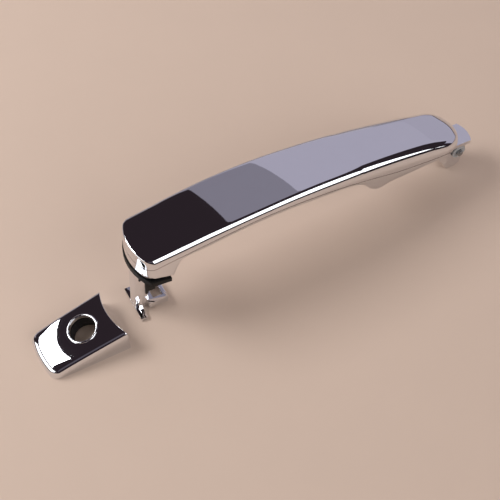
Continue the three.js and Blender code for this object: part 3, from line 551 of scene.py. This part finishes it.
def over_parting(form, lift):
    """A tool that fills all that lies over the parting line."""
    start, stop = -4 * MM, form.s.total + 4 * MM
    steps = 120
    line = [start + (stop - start) * i / steps for i in range(steps + 1)]
    outline = [(x, form.parting(x) + lift) for x in line]
    roof = form.s.arch + 20 * MM
    return drawn_across(outline + [(stop, roof), (start, roof)], form.s.half_width + SIDE_MARGIN)


LOW = -9 * MM  # under everything that is cut from below
SCREW_BOSS = 3.4 * MM
SCREW_HOLE = 1.9 * MM
HEAD_POCKET = 3.2 * MM
HEAD_SEAT = 2.5 * MM
POCKET_PAD = 4.7 * MM
PAD_TOP = 4.2 * MM
FLOOR_PAD = 4.9 * MM  # floor of the rear foot, over the foot's lower face
RECESS_START = 3.6 * MM  # pocket for the leg's flange
RECESS_END = FOOT_LENGTH - 1.6 * MM
RECESS_DEPTH = 2.7 * MM
RECESS_HALF = 12.1 * MM
SIDE_MARGIN = 5 * MM  # how far tools reach past the grip's sides
FINE_SPACING = 1.8 * MM
PLAIN_SPACING = 6 * MM
FINE = (10, 8, 5, 5, 8)  # points across: flat top, upper edge, side, lower edge, lower face
PLAIN = (4, 3, 2, 2, 3)
SCREWS = {
    "leg": [(11.6 * MM, -8.7 * MM), (11.6 * MM, 8.7 * MM)],
    "arm": [(179 * MM, 0), (191 * MM, 0)],
    "shell": [(150.5 * MM, 0), (165 * MM, 0)],
}


def raked_block(start, end, height, half):
    """A tool from below up to a height over the raked lower face of the rear foot."""
    outline = [
        (start, LOW), (end, LOW), (end, foot_height(end) + height),
        (start, foot_height(start) + height),
    ]
    return drawn_across(outline, half)


class HANDLE_OT_grip_outer(bpy.types.Operator):
    """Outer shell of the grip, with its rounded edges and the seam to the inner shell"""

    bl_idname = "handle.grip_outer"
    bl_label = "Grip outer shell"

    def execute(self, context):
        s = context.scene.handle_grip
        form = GripForm(s)
        piece = swept("grip_outer_skin", form.sections(0, FINE, FINE_SPACING))
        carve(piece, over_parting(form, 0), "INTERSECT")
        carve(piece, swept("tool", form.sections(s.wall, PLAIN, PLAIN_SPACING)))
        for x, y in sum(SCREWS.values(), []):
            top = form.top(x)
            boss = rod((x, y), SCREW_BOSS, top - s.wall - 3 * MM, top - 0.5 * s.wall, 32)
            carve(boss, rod((x, y), SCREW_HOLE, 0, top - s.wall - 0.5 * MM, 32))
            carve(piece, boss, "UNION")
        settle(piece, "grip", ["grip_outer_shell"], place=HANDLE_PLACE)
        coat(piece, "chrome")
        return {"FINISHED"}


class HANDLE_OT_grip_inner(bpy.types.Operator):
    """Inner shell of the grip: finger side, rear foot and front foot with its screw pockets"""

    bl_idname = "handle.grip_inner"
    bl_label = "Grip inner shell"

    def execute(self, context):
        s = context.scene.handle_grip
        form = GripForm(s)
        side = s.half_width + SIDE_MARGIN
        piece = swept("grip_inner_skin", form.sections(0, FINE, FINE_SPACING))
        carve(piece, over_parting(form, -SEAM))
        hollow = swept("tool", form.sections(s.wall, PLAIN, PLAIN_SPACING))
        carve(hollow, raked_block(-2 * MM, FOOT_LENGTH + 4 * MM, FLOOR_PAD, side))
        for x, y in SCREWS["shell"]:
            carve(hollow, rod((x, y), POCKET_PAD, LOW, FRONT_FOOT_LIFT + PAD_TOP, 32))
        carve(piece, hollow)
        carve(piece, raked_block(RECESS_START, RECESS_END, RECESS_DEPTH, RECESS_HALF))
        for x, y in SCREWS["shell"]:
            carve(piece, rod((x, y), HEAD_POCKET, LOW, FRONT_FOOT_LIFT + HEAD_SEAT, 48))
        for x, y in sum(SCREWS.values(), []):
            carve(piece, rod((x, y), SCREW_HOLE, LOW, 12 * MM, 32))
        settle(piece, "grip", ["grip_inner_shell"], place=HANDLE_PLACE)
        coat(piece, "chrome")
        return {"FINISHED"}


class HANDLE_OT_fittings(bpy.types.Operator):
    """Leg, arm, pin and gasket, merged from the frame; only the pin is visibly rounded"""

    bl_idname = "handle.fittings"
    bl_label = "Leg, arm, pin and gasket"

    def execute(self, context):
        parts = (
            ("pull_leg_casting", "pull_leg", "grip", 0.45, "chrome", "chrome_plate"),
            ("hinge_arm_casting", "hinge_arm", "grip", 0.4, "chrome", "chrome_plate"),
            ("pivot_pin_bar", "pivot_pin", "door_side", 0.35, "steel", "spring_steel"),
            ("rear_gasket_moulding", "rear_gasket", "door_side", 0.35, "rubber", "black_rubber"),
        )
        for name, node, body, edge, finish, slot in parts:
            piece = bevelled_copy(name, node, edge * MM)
            settle(piece, body, [node], angle=40)
            coat(piece, finish)
        return {"FINISHED"}


# ---------------------------------------------------------------------------------------------
# The cover's form
# ---------------------------------------------------------------------------------------------
RIM_WIDTH = 1.2 * MM
RIM_HEIGHT = 0.5 * MM
RIM_DEPTH = 2.1 * MM
COVER_CROWN = 1.1 * MM
COVER_SCREW_Y = 7 * MM
COVER_SCREW_SHARE = 0.78  # of the cover's length, back from its tips
COVER_BOSS = 2.6 * MM
COVER_SCREW_HOLE = 1.4 * MM


class CoverForm:
    """Curves that give the cover's outline at each station, from its tips back to its rear."""

    CORNER = 4.5 * MM
    EDGE = 3 * MM
    REAR_ROUNDING = 60 * MM
    HOLLOW_ROUNDING = 37.8 * MM
    HOLLOW_DEPTH = 4.6 * MM
    SHIFT = 2.3 * MM
    FRONT_EDGE = 0.5 * MM

    def __init__(self, s):
        rise = s.front_height - s.rear_height
        self.s = s
        self.top = curve_through([
            (-s.total, s.rear_height),
            (-s.total * 0.75, s.rear_height + 0.3 * rise),
            (-s.total * 0.35, s.rear_height + 0.69 * rise),
            (0, s.front_height),
        ])

    def half(self, x):
        """Half width at x."""
        share = (x + self.s.total) / self.s.total
        return self.s.rear_half_width + share * (self.s.front_half_width - self.s.rear_half_width)

    def point(self, x, y, z):
        """A section's point in space: bent round the rear and hollowed at the front."""
        total = self.s.total
        rear = min(max(1 - (x + total) / (total * 0.5), 0), 1)
        front = min(max(1 + x / (total * 0.4), 0), 1)
        back = reach_back(self.REAR_ROUNDING, y - self.SHIFT)
        ahead = reach_back(self.HOLLOW_ROUNDING, y - self.SHIFT) - self.HOLLOW_DEPTH
        shift = front ** 1.5 * ahead
        follow = self.top(x + shift) / self.top(x)
        return Vector((x + rear * back + shift, y, z * follow))

    def section(self, x, inset, low, trim, steps):
        """One section at x."""
        start = -self.s.total + inset
        into = min(max((x - start) / self.CORNER, 0), 1)
        end_round = 1 - math.sqrt(1 - (1 - into) ** 2)
        half = self.half(x) - inset - 0.8 * self.CORNER * end_round - trim
        top = self.top(x) - inset - 0.5 * self.s.rear_height * end_round - trim
        radius = min(max(self.EDGE - inset, 0.8 * MM), (top - max(low, 0)) * 0.8)

        def bow(y):
            return COVER_CROWN * (1 - (y / half) ** 2)

        flat, turn, side, floor = steps
        points = []
        for i in range(flat):
            y = (half - radius) * i / flat
            points.append((y, top + bow(y)))
        for i in range(turn + 1):
            angle = math.pi / 2 * i / turn
            y = half - radius + radius * math.sin(angle)
            shoulder = bow(half - radius) * math.cos(angle) ** 2
            points.append((y, top - radius * (1 - math.cos(angle)) + shoulder))
        high = top - radius
        points += [(half, high + (low - high) * i / side) for i in range(1, side + 1)]
        points += [(half * (1 - i / floor), low) for i in range(1, floor + 1)]
        return points + [(-y, z) for y, z in reversed(points[1:-1])]

    def sections(self, inset, low, steps, count):
        """All sections from the rear end to the front end."""
        start = -self.s.total + inset
        front = 0 if inset == 0 else -inset
        rings = []
        first = self.section(start, inset, low, 0, steps)
        middle = sum(z for _, z in first) / len(first)
        for i in range(1, 9):
            shrunk = [(y * i / 9, middle + (z - middle) * i / 9) for y, z in first]
            rings.append([self.point(start, y, z) for y, z in shrunk])
        stations = [start + self.CORNER * (1 - math.cos(math.pi / 2 * i / 12)) for i in range(13)]
        body = start + self.CORNER
        run = front - self.FRONT_EDGE - body
        stations += [body + run * i / count for i in range(1, count + 1)]
        for x in stations:
            rings.append([self.point(x, y, z) for y, z in self.section(x, inset, low, 0, steps)])
        last = []
        for i in range(1, 7):
            distance = self.FRONT_EDGE * (1 - math.sin(math.pi / 2 * i / 6))
            x = front - distance
            trim = rounding(self.FRONT_EDGE, distance)
            last = self.section(x, inset, low, trim, steps)
            rings.append([self.point(x, y, z) for y, z in last])
        middle = sum(z for _, z in last) / len(last)
        for i in range(8, 0, -1):
            shrunk = [(y * i / 9, middle + (z - middle) * i / 9) for y, z in last]
            rings.append([self.point(front, y, z) for y, z in shrunk])
        return rings


def spun_ring(profile, steps=96):
    """A closed ring: a profile (radius, height) is drawn once and spun about the upright axis."""
    deselect()
    bpy.ops.mesh.primitive_circle_add(vertices=len(profile), radius=MM, fill_type="NOTHING")
    piece = bpy.context.object
    for vertex, (radius, height) in zip(piece.data.vertices, profile):
        vertex.co = (radius, 0, height)
    bpy.ops.object.mode_set(mode="EDIT")
    bpy.ops.mesh.select_all(action="SELECT")
    bpy.ops.mesh.spin(steps=steps, angle=math.tau, center=(0, 0, 0), axis=(0, 0, 1))
    bpy.ops.mesh.select_all(action="SELECT")
    bpy.ops.mesh.remove_doubles(threshold=1e-6)
    bpy.ops.mesh.normals_make_consistent(inside=False)
    bpy.ops.object.mode_set(mode="OBJECT")
    return piece


class HANDLE_OT_cover(bpy.types.Operator):
    """Cover of the key cylinder, with its hollowed front end and the rolled rim of the key hole"""

    bl_idname = "handle.cover"
    bl_label = "Key-cylinder cover"

    def execute(self, context):
        s = context.scene.handle_cover
        form = CoverForm(s)
        piece = swept("cover_skin", form.sections(0, 0, (10, 8, 6, 8), 34))
        inside = form.sections(s.wall, -5 * MM, (4, 3, 2, 3), 10)
        hollow = swept("tool", inside)
        screws = [(-COVER_SCREW_SHARE * s.total, side * COVER_SCREW_Y) for side in (-1, 1)]
        for place in screws:
            boss = rod(place, COVER_BOSS, 3.2 * MM, 12 * MM, 32)
            carve(hollow, boss)
        carve(piece, hollow)
        reach = 8 * MM
        rise = form.top(-s.hole_setback + reach) - form.top(-s.hole_setback - reach)
        slope = math.atan2(rise, 2 * reach)
        roof = Vector((-s.hole_setback, 0, form.top(-s.hole_setback) + COVER_CROWN))
        square = Matrix.Translation(roof) @ Matrix.Rotation(-slope, 4, "Y")
        inner, outer = s.hole_radius, s.hole_radius + RIM_WIDTH
        drill = rod((0, 0), inner + 0.35 * MM, -20 * MM, 20 * MM, 96)
        drill.data.transform(square)
        carve(piece, drill)
        steps = 10
        half = (outer - inner) / 2
        lip = [(inner, -RIM_DEPTH)]
        for i in range(steps + 1):
            angle = math.pi - math.pi * i / steps
            lip.append((inner + half + half * math.cos(angle), RIM_HEIGHT * math.sin(angle)))
        lip += [(outer, -RIM_DEPTH)]
        rim = spun_ring(lip)
        rim.data.transform(square)
        carve(piece, rim, "UNION")
        for place in screws:
            carve(piece, rod(place, COVER_SCREW_HOLE, 0, 5 * MM, 24))
        settle(piece, "cover", ["cover_shell"], place=COVER_PLACE)
        coat(piece, "chrome")
        return {"FINISHED"}


class HANDLE_OT_inner_parts(bpy.types.Operator):
    """Finishes of the pieces inside, which keep the frame's shapes"""

    bl_idname = "handle.inner_parts"
    bl_label = "Inner parts"

    def execute(self, context):
        finishes = {
            "core_beam": "nylon", "cover_carrier": "nylon", "barrel_seal": "rubber",
            "pivot_bush_near": "acetal", "pivot_bush_far": "acetal",
            "cover_clip_1": "steel", "cover_clip_2": "steel",
        }
        for group in ("leg", "arm", "shell", "cover"):
            for number in (1, 2):
                finishes[f"{group}_screw_{number}"] = "zinc"
        for name, finish in finishes.items():
            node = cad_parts[name]
            for slot in node.material_slots:
                slot.material = FINISHES[finish]
        return {"FINISHED"}


# ---------------------------------------------------------------------------------------------
# Stage
# ---------------------------------------------------------------------------------------------
def soft_light(name, centre, target, size, radiance, tint="#FFFFFF", mirrored=True):
    """A soft rectangular light that faces a target; its face shows the given radiance."""
    data = bpy.data.lights.new(name, "AREA")
    data.shape = "RECTANGLE"
    data.size, data.size_y = size
    data.energy = radiance * 4 * size[0] * size[1]
    data.color = linear(tint)[:3]
    lamp = bpy.data.objects.new(name, data)
    bpy.context.scene.collection.objects.link(lamp)
    lamp.location = centre
    lamp.rotation_euler = (Vector(target) - Vector(centre)).to_track_quat("-Z", "Y").to_euler()
    lamp.visible_camera = False
    lamp.visible_glossy = mirrored
    return lamp


# Name, centre, target, size, radiance, tint, and whether the chrome mirrors it.
LIGHTS = (
    # The white strip along the near edge, and a faint band beside it.
    ("softbox_near", (0.97, -1.5, 1.45), (0.97, 0, 1.45), (2.24, 1.9), 1.7),
    ("backdrop_near", (-0.85, -1.5, 1.6), (-0.85, 0, 1.6), (1.3, 1.5), 0.09, "#D0CCDF"),
    # Key light high behind the rear end, and a softbox low behind it for the rear edges.
    ("key", (-1.02, 0.8, 1.15), (-1.02, 0.8, 0.0), (0.8, 1.0), 7.5),
    ("softbox_rear", (-1.9, 0.5, 0.75), (0, 0.5, 0.75), (2.4, 0.8), 1.6),
    # Ceiling panels: pale over the front of the grip, darker over its middle.
    ("ceiling_pale", (2.085, 1.7, 1.5), (2.085, 1.7, 0), (2.43, 3.0), 0.51, "#D0CCDF"),
    ("ceiling_grey", (0.608, 1.7, 1.5), (0.608, 1.7, 0), (0.525, 3.0), 0.27, "#CFCBDE"),
    # Low backdrops: the thin pale line along the far edges, and the front end.
    ("backdrop_far", (0.2, 3.2, 0.9), (0.2, 0, 0.9), (6.0, 1.4), 0.38, "#DAD2D8"),
    ("backdrop_front", (3.3, 1.0, 0.8), (0, 1.0, 0.8), (4.4, 1.4), 0.48, "#D0CCDF"),
    # Even light for the floor, which the chrome doesn't mirror.
    ("fill", (0, 0, 2.6), (0, 0, 0), (7.0, 7.0), 0.24, "#FFF6EE", False),
)


class HANDLE_OT_stage(bpy.types.Operator):
    """Pale floor, soft studio lights and the camera"""

    bl_idname = "handle.stage"
    bl_label = "Stage"

    def execute(self, context):
        scene = context.scene
        deselect()
        bpy.ops.mesh.primitive_plane_add(size=8, location=(0, 0, 0))
        floor = context.object
        floor.name = "floor"
        floor.data.materials.append(FINISHES["floor"])
        world = scene.world or bpy.data.worlds.new("studio")
        scene.world = world
        world.use_nodes = True
        # A dim studio, so that the chrome mirrors dark walls. Seen directly, it is pale.
        tree = world.node_tree
        tree.nodes.clear()
        dim = add_node(tree, "ShaderNodeBackground", {"Color": linear("#3A3036"), "Strength": 0.6})
        pale = add_node(tree, "ShaderNodeBackground", {"Color": linear("#CDBBAE"), "Strength": 1.0})
        seen = add_node(tree, "ShaderNodeLightPath").outputs["Is Camera Ray"]
        both = add_node(tree, "ShaderNodeMixShader", links={
            0: seen, 1: dim.outputs["Background"], 2: pale.outputs["Background"],
        })
        add_node(tree, "ShaderNodeOutputWorld", links={"Surface": both.outputs["Shader"]})
        for light in LIGHTS:
            soft_light(*light)
        azimuth, elevation, distance = math.radians(-29.11), math.radians(56.31), 562.0 * MM
        target = Vector((LEG_LOW.x + 73.08 * MM, MIDDLE_Y + 1.2 * MM, 0))
        way = Vector((
            math.sin(azimuth) * math.cos(elevation),
            -math.cos(azimuth) * math.cos(elevation),
            math.sin(elevation),
        ))
        data = bpy.data.cameras.new("camera")
        data.lens, data.sensor_width = 72, 36
        data.clip_start = 0.01
        camera = bpy.data.objects.new("camera", data)
        scene.collection.objects.link(camera)
        camera.location = target + distance * way
        camera.rotation_euler = way.to_track_quat("Z", "Y").to_euler()
        scene.camera = camera
        scene.view_settings.view_transform = "Standard"
        return {"FINISHED"}


STEPS = (
    HANDLE_OT_grip_outer, HANDLE_OT_grip_inner, HANDLE_OT_fittings, HANDLE_OT_cover,
    HANDLE_OT_inner_parts, HANDLE_OT_stage,
)


class HANDLE_PT_panel(bpy.types.Panel):
    """Buttons for every piece of the handle"""

    bl_idname = "HANDLE_PT_panel"
    bl_label = "Door handle"
    bl_space_type = "VIEW_3D"
    bl_region_type = "UI"
    bl_category = "Door handle"

    def draw(self, context):
        for step in STEPS:
            self.layout.operator(step.bl_idname)
        for settings in ("handle_grip", "handle_cover", "handle_finish"):
            group = getattr(context.scene, settings)
            box = self.layout.box()
            for name in group.__annotations__:
                box.prop(group, name)


CLASSES = (HandleGripSettings, HandleCoverSettings, HandleFinishSettings, *STEPS, HANDLE_PT_panel)


def register():
    """Registers the classes and their settings."""
    for item in CLASSES:
        bpy.utils.register_class(item)
    bpy.types.Scene.handle_grip = bpy.props.PointerProperty(type=HandleGripSettings)
    bpy.types.Scene.handle_cover = bpy.props.PointerProperty(type=HandleCoverSettings)
    bpy.types.Scene.handle_finish = bpy.props.PointerProperty(type=HandleFinishSettings)


def unregister():
    """Removes the classes and their settings."""
    for name in ("handle_grip", "handle_cover", "handle_finish"):
        delattr(bpy.types.Scene, name)
    for item in reversed(CLASSES):
        bpy.utils.unregister_class(item)


def main():
    """Builds every piece in order."""
    register()
    make_finishes(bpy.context.scene.handle_finish)
    for step in STEPS:
        group, name = step.bl_idname.split(".")
        getattr(getattr(bpy.ops, group), name)()


if __name__ == "__main__":
    main()
